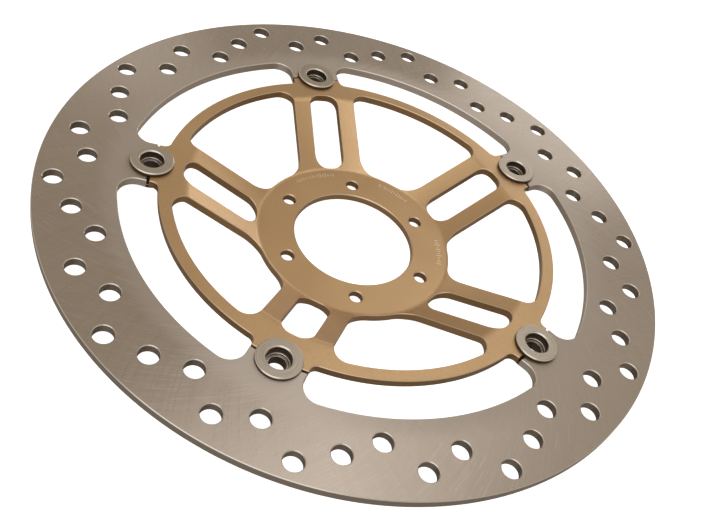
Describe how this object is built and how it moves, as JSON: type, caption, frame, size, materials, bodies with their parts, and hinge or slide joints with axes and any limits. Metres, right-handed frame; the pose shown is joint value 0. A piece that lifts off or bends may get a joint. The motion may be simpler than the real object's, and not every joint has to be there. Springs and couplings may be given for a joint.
{
  "type": "floating brake disc rotor",
  "caption": "Floating motorcycle brake disc: drilled steel friction ring on a dished, spoked carrier, joined by flanged bobbins with wave washers.",
  "frame": {"origin": "centre of the carrier's rear hub face, which bolts to the wheel hub", "axes": "+Z along the axle, away from the wheel, towards the disc's outer side; bobbin 1 lies on -Y"},
  "size_m": [0.31, 0.31, 0.0249],
  "materials": {
    "ground_steel": "ground stainless steel, satin, faint turning marks",
    "gold_anodised": "gold-brown anodised, satin",
    "plated_steel": "turned and nickel-plated, semi-bright",
    "zinc_plated": "zinc plated, satin",
    "spring_steel": "oil-blackened spring steel"
  },
  "bodies": {
    "carrier": {"carrier": "gold_anodised"},
    "disc": {"brake_disc": "ground_steel"},
    "bobbin_set_1": {"bobbin_1": "plated_steel", "retaining_rivet_1": "plated_steel", "flat_washer_1": "zinc_plated", "wave_washer_1": "spring_steel"},
    "bobbin_set_2": {"bobbin_2": "plated_steel", "retaining_rivet_2": "plated_steel", "flat_washer_2": "zinc_plated", "wave_washer_2": "spring_steel"},
    "bobbin_set_3": {"bobbin_3": "plated_steel", "retaining_rivet_3": "plated_steel", "flat_washer_3": "zinc_plated", "wave_washer_3": "spring_steel"},
    "bobbin_set_4": {"bobbin_4": "plated_steel", "retaining_rivet_4": "plated_steel", "flat_washer_4": "zinc_plated", "wave_washer_4": "spring_steel"},
    "bobbin_set_5": {"bobbin_5": "plated_steel", "retaining_rivet_5": "plated_steel", "flat_washer_5": "zinc_plated", "wave_washer_5": "spring_steel"}
  },
  "joints": [
    {"name": "disc_float", "type": "slide", "parent": "carrier", "child": "disc", "axis": [0, 0, 1], "range_m": [-0.0002, 0.0002], "stiffness_N_per_m": 250000},
    {"name": "bobbin_spin_1", "type": "hinge", "parent": "carrier", "child": "bobbin_set_1", "pos_m": [0, -0.1049, 0.0231], "axis": [0, 0, 1], "continuous": true},
    {"name": "bobbin_spin_2", "type": "hinge", "parent": "carrier", "child": "bobbin_set_2", "pos_m": [0.09977, -0.03242, 0.0231], "axis": [0, 0, 1], "continuous": true},
    {"name": "bobbin_spin_3", "type": "hinge", "parent": "carrier", "child": "bobbin_set_3", "pos_m": [0.06166, 0.08487, 0.0231], "axis": [0, 0, 1], "continuous": true},
    {"name": "bobbin_spin_4", "type": "hinge", "parent": "carrier", "child": "bobbin_set_4", "pos_m": [-0.06166, 0.08487, 0.0231], "axis": [0, 0, 1], "continuous": true},
    {"name": "bobbin_spin_5", "type": "hinge", "parent": "carrier", "child": "bobbin_set_5", "pos_m": [-0.09977, -0.03242, 0.0231], "axis": [0, 0, 1], "continuous": true}
  ]
}
